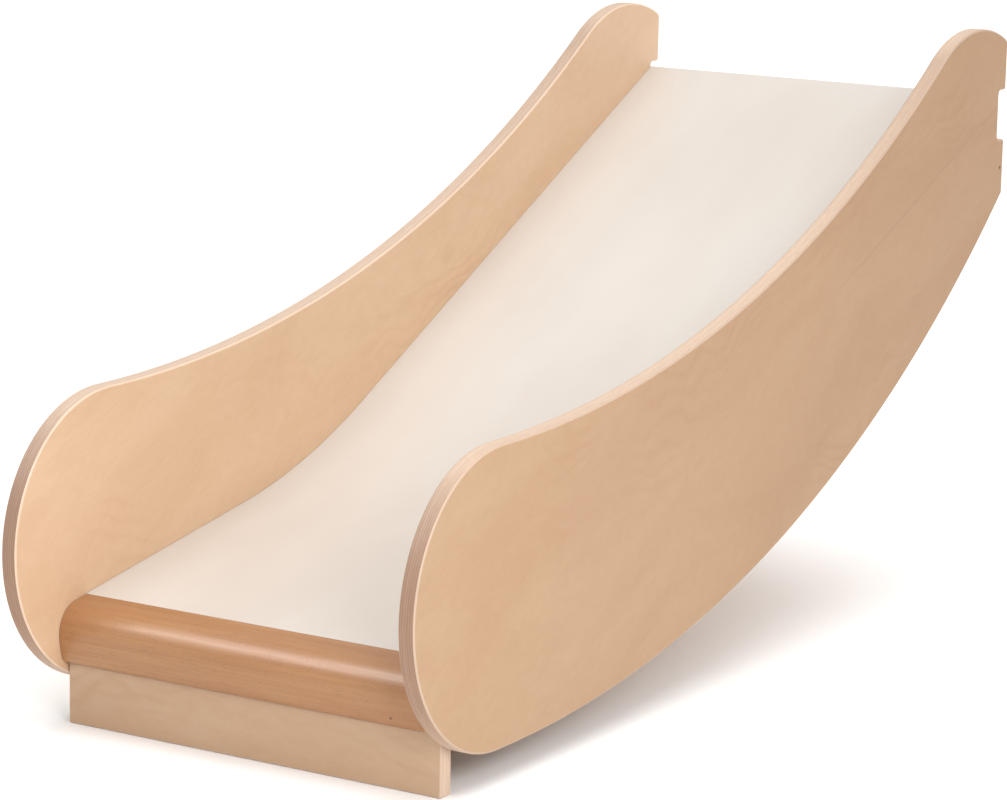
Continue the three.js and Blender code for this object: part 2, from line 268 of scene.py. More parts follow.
class BedProfile:
    """The slide's surface: a straight run-out from the lip, a bend and a straight run."""

    def __init__(self, bed):
        self.low = bed.run_out
        self.lip = Vector((bed.lip_place, bed.lip_height))
        self.along = Vector((math.cos(self.low), math.sin(self.low)))
        self.up = Vector((-self.along.y, self.along.x))
        meet = Vector((bed.bend_place, self.lip.y + (bed.bend_place - self.lip.x) * math.tan(self.low)))
        self.high = math.atan2(RIM_TOP - bed.top_drop - meet.y, NOTCH_WALL - meet.x)
        self.radius = bed.bend_radius
        reach = self.radius * math.tan((self.high - self.low) / 2)
        self.centre = meet - self.along * reach + self.up * self.radius
        self.thickness = bed.facing + GAP + bed.board

    def on_run_out(self, distance, depth):
        """A point behind the lip and below the surface, where the run-out is straight."""
        return self.lip + self.along * distance - self.up * depth

    def at(self, x, depth):
        """Height and slope at place x of a layer below the surface."""
        radius = self.radius + depth
        turn = min(max((x - self.centre.x) / radius, math.sin(self.low)), math.sin(self.high))
        slope = math.asin(turn)
        touch = self.centre + Vector((math.sin(slope), -math.cos(slope))) * radius
        return touch.y + (x - touch.x) * math.tan(slope), slope

    def depth_in(self, top, thickness):
        """Depth through the layer whose top lies this far below the surface, 0 to 1, for any point."""

        def depth(point, x):
            offset = point - self.centre
            slope = min(max(math.atan2(offset.x, -offset.y), self.low), self.high)
            below = offset.dot(Vector((math.sin(slope), -math.cos(slope)))) - self.radius
            return (below - top) / thickness

        return depth

    def layer(self, top, bottom, distance, x):
        """The part of the bed between two depths, anticlockwise."""
        angles = self.low - math.pi / 2, self.high - math.pi / 2

        def edge(depth):
            bend = arc(self.centre, self.radius + depth, *angles, BEND_POINTS)
            start = self.on_run_out(distance, depth)
            end = Vector((x, self.at(x, depth)[0]))
            return [start, *bend, end]

        return [*edge(bottom), *reversed(edge(top))]


def nose_outline(c, bed):
    """The nose bar, with a rebate behind its lip for the end of the bed."""
    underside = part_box("nose_bar")[0].z - FLOOR
    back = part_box("nose_bar")[1].y - FRONT
    roll = bed.on_run_out(-c.nose_flat, c.nose_round)
    face = Vector((roll.x - c.nose_round + c.nose_face, roll.y))
    heel_y = underside + c.nose_heel
    reach = c.nose_face - c.nose_heel
    heel = Vector((face.x - math.sqrt(reach**2 - (heel_y - face.y) ** 2), heel_y))
    to_heel = angle_of(heel - face) % (2 * math.pi)
    rebate = bed.thickness + GAP
    return [
        bed.lip,
        *arc(roll, c.nose_round, math.pi / 2 + bed.low, math.pi, ROLL_POINTS),
        *arc(face, c.nose_face, math.pi, to_heel, FACE_POINTS)[1:],
        *arc(heel, c.nose_heel, to_heel, 1.5 * math.pi, SMALL_POINTS)[1:],
        Vector((back, underside)),
        Vector((back, bed.at(back, rebate)[0])),
        bed.on_run_out(0, rebate),
    ]


# ---- meshes


def outward(points, tiny=1e-9, sharpest=0.3):
    """For each point of a closed outline, the vector that moves both its edges out by one."""
    normals = []
    count = len(points)
    for i, point in enumerate(points):
        edge = point - points[i - 1]
        following = points[(i + 1) % count] - point
        if edge.length < tiny:
            edge = following
        if following.length < tiny:
            following = edge
        a = Vector((edge.y, -edge.x)).normalized()
        b = Vector((following.y, -following.x)).normalized()
        normals.append((a + b) / max(1 + a.dot(b), sharpest))
    return normals


def tidy_outline(points, least=2e-5):
    """The outline without points that repeat the one before."""
    kept = []
    for point in points:
        if not kept or (point - kept[-1]).length > least:
            kept.append(point)
    if (kept[0] - kept[-1]).length < least:
        kept.pop()
    return kept


def board(name, outline, low, high, arris=0.0, steps=6):
    """A board across the slide between two values of x, with rounded end arrises."""
    outline = tidy_outline(outline)
    normals = outward(outline)
    turns = [math.pi / 2 * k / steps for k in range(steps + 1)] if arris else [math.pi / 2]
    insets = [(arris * (1 - math.sin(a)), arris * (1 - math.cos(a))) for a in turns]
    rings = [(low + depth, inset) for inset, depth in insets]
    rings += [(high - depth, inset) for inset, depth in reversed(insets)]
    shape = bmesh.new()
    made = []
    for x, inset in rings:
        ring = [p - n * inset for p, n in zip(outline, normals)]
        made.append([shape.verts.new((x, FRONT + p.x, FLOOR + p.y)) for p in ring])
    count = len(outline)
    for ring, following in zip(made, made[1:]):
        for i in range(count):
            j = (i + 1) % count
            shape.faces.new((ring[i], ring[j], following[j], following[i]))
    shape.faces.new(made[-1])
    shape.faces.new(list(reversed(made[0])))
    return finish_mesh(name, shape)


def turned(name, profile, sides, place=Matrix()):
    """A turned piece about z from (radius, z) pairs, closed at both ends, then set in place."""
    shape = bmesh.new()
    rings = []
    for radius, z in profile:
        angles = [2 * math.pi * i / sides for i in range(sides if radius else 1)]
        around = [Vector((radius * math.cos(a), radius * math.sin(a), z)) for a in angles]
        rings.append([shape.verts.new(place @ point) for point in around])
    for low, high in zip(rings, rings[1:]):
        for i in range(sides):
            j = (i + 1) % sides
            corners = low[i % len(low)], low[j % len(low)], high[j % len(high)], high[i % len(high)]
            shape.faces.new(list(dict.fromkeys(corners)))  # a ring on the axis is one point
    bmesh.ops.recalc_face_normals(shape, faces=shape.faces)
    return finish_mesh(name, shape)


def finish_mesh(name, shape):
    """A new object in the scene from a worked shape."""
    mesh = bpy.data.meshes.new(name)
    shape.to_mesh(mesh)
    shape.free()
    piece = bpy.data.objects.new(name, mesh)
    bpy.context.scene.collection.objects.link(piece)
    return piece


def settle(piece):
    """Applies the piece's modifiers."""
    bpy.context.view_layer.update()
    graph = bpy.context.evaluated_depsgraph_get()
    mesh = bpy.data.meshes.new_from_object(piece.evaluated_get(graph))
    old = piece.data
    piece.modifiers.clear()
    piece.data = mesh
    mesh.name = piece.name
    bpy.data.meshes.remove(old)


def joined(pieces):
    """One object of several, for cutting."""
    shape = bmesh.new()
    for piece in pieces:
        shape.from_mesh(piece.data)
        bpy.data.objects.remove(piece)
    return finish_mesh("cutter", shape)


def cut(piece, cutters):
    """Takes the cutters out of the piece."""
    if not cutters:
        return
    cutter = joined(cutters)
    change = piece.modifiers.new("cut", "BOOLEAN")
    change.operation = "DIFFERENCE"
    change.solver = "EXACT"
    change.object = cutter
    settle(piece)
    bpy.data.objects.remove(cutter)
    if not piece.data.polygons:
        raise RuntimeError(f"{piece.name} was lost in a cut")


def smooth(piece, angle=math.radians(32), merge=1e-6, weight=60):
    """Smooth faces with sharp arrises kept, shaded by the larger faces."""
    shape = bmesh.new()
    shape.from_mesh(piece.data)
    bmesh.ops.remove_doubles(shape, verts=shape.verts, dist=merge)
    for face in shape.faces:
        face.smooth = True
    for edge in shape.edges:
        edge.smooth = len(edge.link_faces) == 2 and edge.calc_face_angle(0) < angle
    shape.to_mesh(piece.data)
    shape.free()
    weigh = piece.modifiers.new("weigh", "WEIGHTED_NORMAL")
    weigh.keep_sharp = True
    weigh.weight = weight
    settle(piece)


def shaft(node, near_end=0.8):
    """Centre, direction, length and radius of a long round node; it points to its wider end."""
    co = np.array([v.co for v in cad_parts[node].data.vertices])
    middle = (co.max(0) + co.min(0)) / 2
    direction = np.linalg.eigh(np.cov((co - co.mean(0)).T))[1][:, 2]
    along = (co - middle) @ direction
    middle = middle + direction * (along.max() + along.min()) / 2
    along = (co - middle) @ direction
    away = np.linalg.norm(co - middle - np.outer(along, direction), axis=1)
    half = along.max()
    if away[along > half * near_end].max() < away[along < -half * near_end].max():
        direction = -direction
    return Vector(middle), Vector(direction), 2 * half, away.max()


def standing_on(middle, direction):
    """The place of a turned piece about an axis."""
    lean = Vector((0, 0, 1)).rotation_difference(direction)
    return Matrix.Translation(middle) @ lean.to_matrix().to_4x4()


HOLE_END = 0.001  # how far a hole or groove runs past what it takes
HOLE_SIDES = 24
SHANK = 0.5  # radius over a screw's thread, as a share of its head's radius
HEAD = 0.55  # depth of a screw's head, as a share of its radius


def holes(nodes):
    """Cutters for the holes of straight dowels and of screws."""
    made = []
    for node in nodes:
        middle, direction, long, radius = shaft(node)
        half = long / 2
        if node in SCREWS:
            middle = middle + direction * half
            profile = screw_hole_profile(long, radius)
        else:
            end, wide = half + HOLE_END, radius + GAP
            profile = [(0, -end), (wide, -end), (wide, end), (0, end)]
        made.append(turned("bore", profile, HOLE_SIDES, standing_on(middle, direction)))
    return made


def screw_profile(long, radius):
    """A countersunk screw from its tip at -long to the top of its head at 0."""
    pitch, crest, point, lead, plain = 0.0016, 0.0005, 0.006, 0.003, 0.004
    edge, rim, flat = (radius, -0.0003), (radius * 0.97, -0.00005), (radius * 0.85, 0)
    thread = radius * SHANK
    root = thread * 0.68
    neck = thread * 0.8
    under_head = -radius * HEAD
    profile = [(0, -long)]
    z = lead - long
    while z < under_head - plain:
        taper = min(1.0, (z + long) / point)
        profile += [(root * taper, z), (thread * taper, z + crest), (root * taper, z + 2 * crest)]
        z += pitch
    return [*profile, (neck, z), (neck, under_head - 0.0004), edge, rim, flat, (0, 0)]


def screw_hole_profile(long, radius, point=0.0006, taper=0.004, mouth=0.0015):
    """The hole for a screw, from below its tip to above its head."""
    thread = radius * SHANK + GAP
    end = -long - HOLE_END
    return [
        (0, end),
        (point + GAP, end),
        (thread, taper - long),
        (thread, -radius * HEAD),
        (radius + GAP, 0),
        (radius + GAP, mouth),
        (0, mouth),
    ]


def nodes_of(*prefixes):
    """The frame's dowels and screws whose names start so, dowels first."""
    return [n for n in DOWELS + SCREWS if n.startswith(prefixes)]


DOWELS = [n for n in sorted(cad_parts) if "_dowel_" in n]
SCREWS = [n for n in sorted(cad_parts) if "_screw_" in n]


def dress(piece, material, slot, *stood_for):
    """Gives a finished piece its material and its body, and hides the nodes it stands for."""
    piece.data.materials.clear()
    piece.data.materials.append(material)
    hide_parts(*stood_for)
    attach(piece, "root")


def complete(piece, finish, slot, node, cutters=(), depth=None):
    """Cuts, smooths and dresses a board; a sheet also keeps how deep each vertex lies in it."""
    cut(piece, cutters)
    smooth(piece)
    if depth is not None:
        attribute = piece.data.attributes.new("depth", "FLOAT", "POINT")
        for vertex, value in zip(piece.data.vertices, attribute.data):
            value.value = depth(Vector((vertex.co.y - FRONT, vertex.co.z - FLOOR)), vertex.co.x)
    dress(piece, finish, slot, node)


# ---- shader graphs


class Graph:
    """Short calls for building a node tree."""

    def __init__(self, tree):
        self.tree = tree
        self.nodes = tree.nodes

    def feed(self, socket, value):
        """Links a socket to another, or sets it to a number, a vector or a colour."""
        if isinstance(value, bpy.types.NodeSocket):
            self.tree.links.new(value, socket)
        elif hasattr(value, "__len__"):
            opaque = (1.0,) if len(socket.default_value) > len(value) else ()
            socket.default_value = (*value, *opaque)
        else:
            socket.default_value = value

    def add(self, kind, inputs=(), **settings):
        """A node of a kind, with its settings and what its inputs are fed."""
        node = self.nodes.new("ShaderNode" + kind)
        for key, value in settings.items():
            setattr(node, key, value)
        for key, value in dict(inputs).items():
            self.feed(node.inputs[key], value)
        return node

    def place(self):
        """Places in the frame."""
        return self.add("TexCoord").outputs["Object"]

    def depth(self):
        """The depth through a sheet that is kept in its mesh."""
        return self.add("Attribute", attribute_name="depth").outputs["Fac"]

    def math(self, operation, a, b=0.0, clamp=False):
        """One step of arithmetic."""
        return self.add("Math", {0: a, 1: b}, operation=operation, use_clamp=clamp).outputs[0]

    def vector(self, operation, a, b):
        node = self.add("VectorMath", {0: a, 1: b}, operation=operation)
        return node.outputs["Value" if operation in {"DOT_PRODUCT", "DISTANCE"} else "Vector"]

    def part(self, vector, axis):
        """One axis of a vector."""
        return self.add("SeparateXYZ", {0: vector}).outputs[axis]

    def mix(self, factor, a, b, blend="MIX"):
        node = self.add("Mix", data_type="RGBA", blend_type=blend)
        self.feed(node.inputs[0], factor)
        self.feed(node.inputs[6], a)
        self.feed(node.inputs[7], b)
        return node.outputs[2]

    def span(self, value, low, high, to_low=0.0, to_high=1.0):
        """Eases from one level to another while the value goes from low to high."""
        inputs = {0: value, 1: low, 2: high, 3: to_low, 4: to_high}
        return self.add("MapRange", inputs, interpolation_type="SMOOTHSTEP").outputs[0]

    def noise(self, at, scale=1.0, detail=2.0, roughness=0.5, distortion=0.0, stretch=None):
        """Noise from 0 to 1; it is finest along the axis with the largest stretch."""
        if stretch is not None:
            at = self.vector("MULTIPLY", at, stretch)
        levels = {"Scale": scale, "Detail": detail, "Roughness": roughness, "Distortion": distortion}
        return self.add("TexNoise", {"Vector": at, **levels}).outputs[0]

    def swing(self, noise, reach):
        """Noise laid evenly to both sides of zero."""
        return self.math("MULTIPLY", self.math("SUBTRACT", noise, 0.5), reach)

    def total(self, *shares):
        """The sum of each value times its share, held between 0 and 1."""
        parts = [self.math("MULTIPLY", value, share) for value, share in shares]
        while len(parts) > 1:
            parts[:2] = [self.math("ADD", *parts[:2], clamp=len(parts) == 2)]
        return parts[0]


def group(name, inputs, outputs):
    """An empty shader group with its sockets, and its graph, entry and exit."""
    tree = bpy.data.node_groups.new(name, "ShaderNodeTree")
    for label, kind, default in inputs:
        socket = tree.interface.new_socket(label, in_out="INPUT", socket_type="NodeSocket" + kind)
        if default is not None:
            socket.default_value = default
    for label, kind in outputs:
        tree.interface.new_socket(label, in_out="OUTPUT", socket_type="NodeSocket" + kind)
    graph = Graph(tree)
    return graph, graph.nodes.new("NodeGroupInput").outputs, graph.nodes.new("NodeGroupOutput").inputs


WHITE = (1.0, 1.0, 1.0, 1.0)
GRAIN_INPUTS = [("Vector", "Vector", None), ("Pale", "Color", WHITE), ("Deep", "Color", WHITE)]


def veneer_group():
    """Rotary cut veneer: soft clouds, slow wavy growth lines and short fine fibres."""
    wave, sway, sharpness = 150, 34, 6.0  # of the growth lines: radians a metre, radians, power
    graph, given, out = group("Rotary veneer", GRAIN_INPUTS, [("Color", "Color"), ("Fibre", "Float")])
    at = given["Vector"]
    warp = graph.noise(at, scale=1.6, stretch=(1, 3.2, 4.6))
    clouds = graph.noise(at, scale=1.4, detail=3.0, distortion=0.6, stretch=(1, 2.4, 7.5))
    mottle = graph.noise(at, scale=1.5, detail=4.0, roughness=0.62, distortion=1.4, stretch=(1, 18, 46))
    fibre = graph.noise(at, detail=3.0, roughness=0.65, stretch=(400, 60, 900))
    rise = graph.math("MULTIPLY", graph.part(at, "Z"), wave)
    rings = graph.math("ADD", rise, graph.math("MULTIPLY", warp, sway))
    line = graph.math("POWER", graph.math("ABSOLUTE", graph.math("SINE", rings)), sharpness)
    patch = graph.span(graph.noise(at, scale=1.2, detail=1.0, stretch=(1, 4, 6)), low=0.50, high=0.74)
    tone = graph.total(
        (graph.span(clouds, low=0.28, high=0.74), 0.46),
        (graph.span(mottle, low=0.34, high=0.72), 0.24),
        (graph.math("MULTIPLY", line, patch), 0.30),
        (graph.math("SUBTRACT", fibre, 0.5), 0.24),
    )
    graph.feed(out["Color"], graph.mix(tone, given["Pale"], given["Deep"]))
    graph.feed(out["Fibre"], fibre)
    return graph.tree


def plies_group():
    """The glued veneers seen at an edge, from a depth of 0 to 1 through the sheet."""
    waver, seed = 0.16, 3.7  # of a veneer's thickness; picks the veneers' own tones
    depth_inputs = [("Depth", "Float", 0.0), ("Plies", "Float", 13.0)]
    graph, given, out = group("Plies", [*GRAIN_INPUTS, *depth_inputs], [("Color", "Color")])
    at = given["Vector"]
    place = graph.math("MULTIPLY", given["Depth"], given["Plies"])
    place = graph.math("ADD", place, graph.swing(graph.noise(at, scale=40), waver))
    number = graph.math("FLOOR", place)
    odd = graph.math("MODULO", number, 2.0)
    chance = graph.add("TexWhiteNoise", {"W": graph.math("ADD", number, seed)}, noise_dimensions="1D")
    part = graph.math("FRACT", place)
    glue = graph.math("MINIMUM", part, graph.math("SUBTRACT", 1.0, part))
    streak = graph.noise(at, detail=3.0, roughness=0.6, stretch=(900, 70, 70))
    pores = graph.noise(at, scale=1500, detail=1.0)
    tone = graph.total(
        (odd, 0.34),
        (chance.outputs["Value"], 0.25),
        (graph.span(streak, low=0.35, high=0.7), 0.25),
        (graph.math("MULTIPLY", pores, odd), 0.22),
        (graph.span(glue, low=0.03, high=0.13, to_low=1.0, to_high=0.0), 0.24),
    )
    graph.feed(out["Color"], graph.mix(tone, given["Pale"], given["Deep"]))
    return graph.tree


def solid_wood_group():
    """Sawn wood with its grain along x: growth bands, fine lines and short dark rays."""
    ray_shade, ray_dip = (0.55, 0.45, 0.38), 0.5
    inputs = [*GRAIN_INPUTS, ("Flecks", "Float", 0.5)]
    graph, given, out = group("Sawn wood", inputs, [("Color", "Color"), ("Grain", "Float")])
    at = given["Vector"]
    bands = graph.noise(at, detail=3.0, roughness=0.6, distortion=0.6, stretch=(3.0, 60, 60))
    lines = graph.noise(at, detail=3.0, roughness=0.6, stretch=(8.0, 420, 420))
    clouds = graph.noise(at, stretch=(7, 12, 12))
    dashes = graph.vector("MULTIPLY", at, (240, 1250, 1250))
    spots = graph.add("TexVoronoi", {"Vector": dashes, "Scale": 1.0}).outputs["Distance"]
    fleck = graph.span(spots, low=0.16, high=0.34, to_low=1.0, to_high=0.0)
    some = graph.span(graph.noise(at, detail=1.0, stretch=(60, 200, 200)), low=0.46, high=0.62)
    fleck = graph.math("MULTIPLY", graph.math("MULTIPLY", fleck, some), given["Flecks"])
    tone = graph.total(
        (graph.span(bands, low=0.3, high=0.7), 0.45),
        (graph.span(lines, low=0.3, high=0.7), 0.28),
        (graph.span(clouds, low=0.3, high=0.7), 0.20),
    )
    base = graph.mix(tone, given["Pale"], given["Deep"])
    dark = graph.mix(1.0, given["Deep"], ray_shade, blend="MULTIPLY")
    graph.feed(out["Color"], graph.mix(fleck, base, dark))
    graph.feed(out["Grain"], graph.math("SUBTRACT", lines, graph.math("MULTIPLY", fleck, ray_dip)))
    return graph.tree


GROUPS = {"Rotary veneer": veneer_group, "Plies": plies_group, "Sawn wood": solid_wood_group}


def place_group(graph, name, **inputs):
    """Places a shared shader group, which is built the first time."""
    node = graph.add("Group")
    node.node_tree = bpy.data.node_groups.get(name) or GROUPS[name]()
    for key, value in inputs.items():
        graph.feed(node.inputs[key], value)
    return node


def material(name):
    """A new material with its graph and its shader."""
    made = bpy.data.materials.new(name)
    made.use_nodes = True
    graph = Graph(made.node_tree)
    shader = next(n for n in graph.nodes if n.type == "BSDF_PRINCIPLED")
    return made, graph, shader


def bump(graph, shader, height, strength, distance):
    """Feeds the shader's normal from a height."""
    node = graph.add("Bump", {"Height": height, "Strength": strength, "Distance": distance})
    graph.feed(shader.inputs["Normal"], node.outputs[0])


def roughen(graph, shader, base, *shares):
    """Sets the roughness to a base level and a share of each value."""
    for value, share in shares:
        base = graph.math("ADD", graph.math("MULTIPLY", value, share), base)
    graph.feed(shader.inputs["Roughness"], base)


# Colour of the painted shade that deepens a panel's veneer towards its rear.
REAR_SHADE_COLOUR = (0.66, 0.50, 0.36)
END_SHADE, END_STRENGTH = (0.50, 0.39, 0.33), 0.92
SEAM_SHADE, SEAM_STRENGTH = (0.45, 0.30, 0.20), 0.17
SEAM_SLOPE, SEAM_OFFSET = math.radians(23), -0.0146  # from the frame's origin, square to the seam
SEAM_START, SEAM_FULL = -0.45, -0.30  # where it fades in along y
SEAM_CORE, SEAM_EDGE, SEAM_DRIFT = 0.0003, 0.0020, 0.006
# The share of white is a painted highlight along the arrises, over the face veneer's own colour.
SKIN, SKIN_BLUR, SKIN_HIGHLIGHT = 1.05, 0.10, 0.15  # thickness and blur in veneers; share of white
KNOT_CORE, KNOT_EDGE, KNOT_BROWN = 0.0012, 0.0026, srgb(96, 60, 38)
LAMINATE_CORE = srgb(190, 160, 132)


def seam_mask(graph, place, at, along):
    """The fine, slightly wandering joint between two sheets of face veneer."""
    square = (0, -math.sin(SEAM_SLOPE), math.cos(SEAM_SLOPE))
    away = graph.math("SUBTRACT", graph.vector("DOT_PRODUCT", place, square), SEAM_OFFSET)
    drift = graph.swing(graph.noise(at, scale=14), SEAM_DRIFT)
    away = graph.math("ABSOLUTE", graph.math("ADD", away, drift))
    line = graph.span(away, SEAM_CORE, SEAM_EDGE, to_low=SEAM_STRENGTH, to_high=0.0)
    return graph.math("MULTIPLY", line, graph.span(along, SEAM_START, SEAM_FULL))


def plywood_material(name, finish, plies, shift, turn=(0, 0, 0), tone=(1, 1, 1), rear_shading=0.0, seam=False):
    """Faced plywood: veneer on both faces, glued plies on the edges; painted shade deepens it towards the
    rear, and a tone below one darkens it evenly, also as painted shade.
    """
    made, graph, shader = material(name)
    place = graph.place()
    along = graph.part(place, "Y")
    at = graph.add("Mapping", {"Vector": place, "Location": shift, "Rotation": turn}).outputs[0]
    # A tone below one darkens the veneer evenly: painted shade on the right panel and on the foot board.
    pale, deep = [[c * t for c, t in zip(shade, tone)] for shade in (finish.veneer, finish.veneer_deep)]
    veneer = place_group(graph, "Rotary veneer", Vector=at, Pale=pale, Deep=deep)
    # Painted shade: the veneer darkens towards the rear of the panel.
    rear_shade_mask = graph.span(along, FRONT, 0.0, to_high=rear_shading)
    outside = graph.mix(rear_shade_mask, veneer.outputs["Color"], REAR_SHADE_COLOUR, blend="MULTIPLY")
    if seam:
        line = seam_mask(graph, place, at, along)
        outside = graph.mix(line, outside, SEAM_SHADE, blend="MULTIPLY")

    depth = graph.depth()
    veneers_cut = {"Depth": depth, "Plies": float(plies), "Pale": finish.ply, "Deep": finish.ply_deep}
    edge = place_group(graph, "Plies", Vector=at, **veneers_cut)
    normal = graph.part(graph.add("NewGeometry").outputs["Normal"], "Y")
    end = graph.span(graph.math("ABSOLUTE", normal), low=0.30, high=0.95, to_high=END_STRENGTH)
    edge_colour = graph.mix(end, edge.outputs["Color"], END_SHADE, blend="MULTIPLY")

    from_middle = graph.math("ABSOLUTE", graph.math("SUBTRACT", depth, 0.5))
    face = graph.span(from_middle, low=0.4935, high=0.4985)
    skin_low, skin_high = [0.5 - (SKIN + blur) / plies for blur in (SKIN_BLUR, -SKIN_BLUR)]
    skin = graph.span(from_middle, skin_low, skin_high)
    # The face veneer shows round the arrises, mixed with white as a painted highlight.
    section = graph.mix(skin, edge_colour, graph.mix(SKIN_HIGHLIGHT, outside, WHITE))
    graph.feed(shader.inputs["Base Color"], graph.mix(face, section, outside))
    fibre = veneer.outputs["Fibre"]
    roughen(graph, shader, 0.36, (fibre, 0.12), (graph.math("SUBTRACT", 1.0, face), 0.12))
    bump(graph, shader, fibre, strength=0.12, distance=0.0003)
    shader.inputs["Specular IOR Level"].default_value = 0.4
    return made


def wood_material(name, pale, deep, flecks, rough, knot=None):
    """Sawn wood with its grain along x, and a pin knot where one is asked for."""
    made, graph, shader = material(name)
    place = graph.place()
    wood = place_group(graph, "Sawn wood", Vector=place, Pale=pale, Deep=deep, Flecks=flecks)
    base = wood.outputs["Color"]
    if knot is not None:
        away = graph.vector("DISTANCE", place, knot)
        spot = graph.span(away, KNOT_CORE, KNOT_EDGE, to_low=1.0, to_high=0.0)
        base = graph.mix(spot, base, KNOT_BROWN)
    graph.feed(shader.inputs["Base Color"], base)
    roughen(graph, shader, rough, (wood.outputs["Grain"], 0.14))
    bump(graph, shader, wood.outputs["Grain"], strength=0.16, distance=0.0003)
    return made


def batten_material(finish):
    """The battens' wood, made once."""
    made = bpy.data.materials.get("Batten")
    return made or wood_material("Batten", finish.batten, finish.batten_deep, flecks=0.25, rough=0.45)


def laminate_material(finish):
    """Smooth satin laminate with faint clouding and a fine even texture, brown below its surface."""
    made, graph, shader = material("Laminate")
    place = graph.place()
    clouds = graph.noise(place, detail=3.0, stretch=(6, 2.5, 2.5))
    base = graph.mix(graph.span(clouds, low=0.3, high=0.7), finish.facing, finish.facing_deep)
    base = graph.mix(graph.span(graph.depth(), low=0.25, high=0.45), base, LAMINATE_CORE)
    graph.feed(shader.inputs["Base Color"], base)
    grain = graph.noise(place, scale=1800, roughness=0.6)
    roughen(graph, shader, 0.30, (grain, 0.10))
    bump(graph, shader, grain, strength=0.05, distance=0.0001)
    return made


def zinc_material(finish):
    """Zinc plate, slightly clouded."""
    dull, dulling = (0.30, 0.30, 0.28), 0.35
    made, graph, shader = material("Zinc")
    clouds = graph.noise(graph.place(), scale=700, detail=3.0, roughness=0.6)
    clouded = graph.mix(dulling, finish.steel, dull)
    base = graph.mix(graph.span(clouds, low=0.35, high=0.7), finish.steel, clouded)
    graph.feed(shader.inputs["Base Color"], base)
    shader.inputs["Metallic"].default_value = 1.0
    roughen(graph, shader, 0.22, (clouds, 0.25))
    bump(graph, shader, clouds, strength=0.08, distance=0.0001)
    return made


def across(point, x):
    """Depth through the nearer side panel, 0 at its inner face and 1 at its outer face."""
    return (abs(x) - INSIDE) / (OUTSIDE - INSIDE)


CROSSWISE = (0, 0, math.pi / 2)  # turns the veneer of a board that lies across the slide
WITH_SLIDE = (math.radians(-22), 0, 0)  # leans the panels' veneer the way the slide runs

# Each panel's faces across the slide, and its own sheet of veneer.
PANELS = {
    "left": (-OUTSIDE, -INSIDE, {"shift": (0.37, 0.11, 0.23)}),
    "right": (
        INSIDE,
        OUTSIDE,
        # Painted shade: the right panel's veneer is darker all over, and darker still towards its rear.
        {"shift": (0.0, 0.0, 0.0), "tone": (0.63, 0.572, 0.495), "rear_shading": 0.36, "seam": True},
    ),
}
# Painted shade: the foot board's veneer is darker than the panels' because it faces the front.
FOOT_PAINTED_SHADE = (0.725, 0.69, 0.665)
KNOT = Vector((0.170, FRONT + 0.0704, FLOOR + 0.0725))
PIN_HOLE_SIDES = 32
SCREW_SIDES = 40
SCREW_TURN = 1.1  # how much further each screw is turned than the one before, in radians
CORNER = 1.2  # outline corners are rounder than arrises, so that no inset ring crosses itself
PLY_ARRIS = 0.8  # the rear board's arrises, as a share of the battens'


# ---- operators


class BuildPanels(bpy.types.Operator):
    """Builds both side panels with rounded arrises, grooves, notches and holes"""

    bl_idname = "slide.panels"
    bl_label = "Side panels"

    def execute(self, context):
        scene = context.scene
        p, finish, bed = scene.slide_panel, scene.slide_finish, BedProfile(scene.slide_bed)
        outline = panel_outline(p)
        slot = bed.layer(-GAP, bed.thickness + GAP, 0, NOTCH_WALL + HOLE_END)
        reach = INSIDE + p.groove_depth
        hole = Vector((0, FRONT + LENGTH - p.hole_inset, FLOOR + RIM_TOP - p.notch_height - p.hole_drop))
        along_x = standing_on(hole, Vector((1, 0, 0)))
        end = 2 * OUTSIDE
        pin = [(0, -end), (p.hole_radius, -end), (p.hole_radius, end), (0, end)]
        for side, (low, high, sheet) in PANELS.items():
            piece = board(f"panel_{side}", outline, low, high, p.arris)
            groove = board("groove", slot, -reach, reach)
            pin_hole = turned("pin hole", pin, PIN_HOLE_SIDES, along_x)
            cutters = [groove, pin_hole, *holes([n for n in DOWELS if f"_{side}_" in n])]
            ply = plywood_material(f"Panel ply {side}", finish, p.plies, turn=WITH_SLIDE, **sheet)
            complete(piece, ply, "panel_ply", f"side_panel_{side}", cutters, across)
        return {"FINISHED"}


class BuildBed(bpy.types.Operator):
    """Builds the bent board and the laminate facing that is slid on"""

    bl_idname = "slide.bed"
    bl_label = "Bed and facing"

    def execute(self, context):
        scene = context.scene
        bed, finish = scene.slide_bed, scene.slide_finish
        profile = BedProfile(bed)
        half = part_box("slide_facing")[1].x
        sheet = profile.layer(0, bed.facing, GAP, NOTCH_WALL)
        facing = board("facing", sheet, -half, half, bed.facing_arris, steps=2)
        depth = profile.depth_in(0, bed.facing)
        complete(facing, laminate_material(finish), "laminate", "slide_facing", depth=depth)

        top = bed.facing + GAP
        sheet = profile.layer(top, profile.thickness, GAP, NOTCH_WALL)
        bent = board("bent_board", sheet, -half, half, bed.board_arris, steps=3)
        ply = plywood_material("Bed ply", finish, bed.plies, shift=(0.9, 0.4, 0.6))
        screws = nodes_of("lower_rail_screw", "upper_rail_screw")
        depth = profile.depth_in(top, bed.board)
        complete(bent, ply, "bed_ply", "bed_board", holes(screws), depth)
        return {"FINISHED"}


class BuildNose(bpy.types.Operator):
    """Builds the solid nose bar at the foot of the run"""

    bl_idname = "slide.nose"
    bl_label = "Nose bar"

    def execute(self, context):
        scene = context.scene
        c, finish = scene.slide_cross, scene.slide_finish
        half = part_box("nose_bar")[1].x
        outline = nose_outline(c, BedProfile(scene.slide_bed))
        nose = board("nose", outline, -half, half, c.nose_arris, steps=3)
        beech = wood_material("Nose beech", finish.beech, finish.beech_deep, 0.60, 0.28, KNOT)
        fixings = nodes_of("nose_dowel", "foot_dowel", "cleat_screw_up")
        complete(nose, beech, "beech", "nose_bar", holes(fixings))
        return {"FINISHED"}


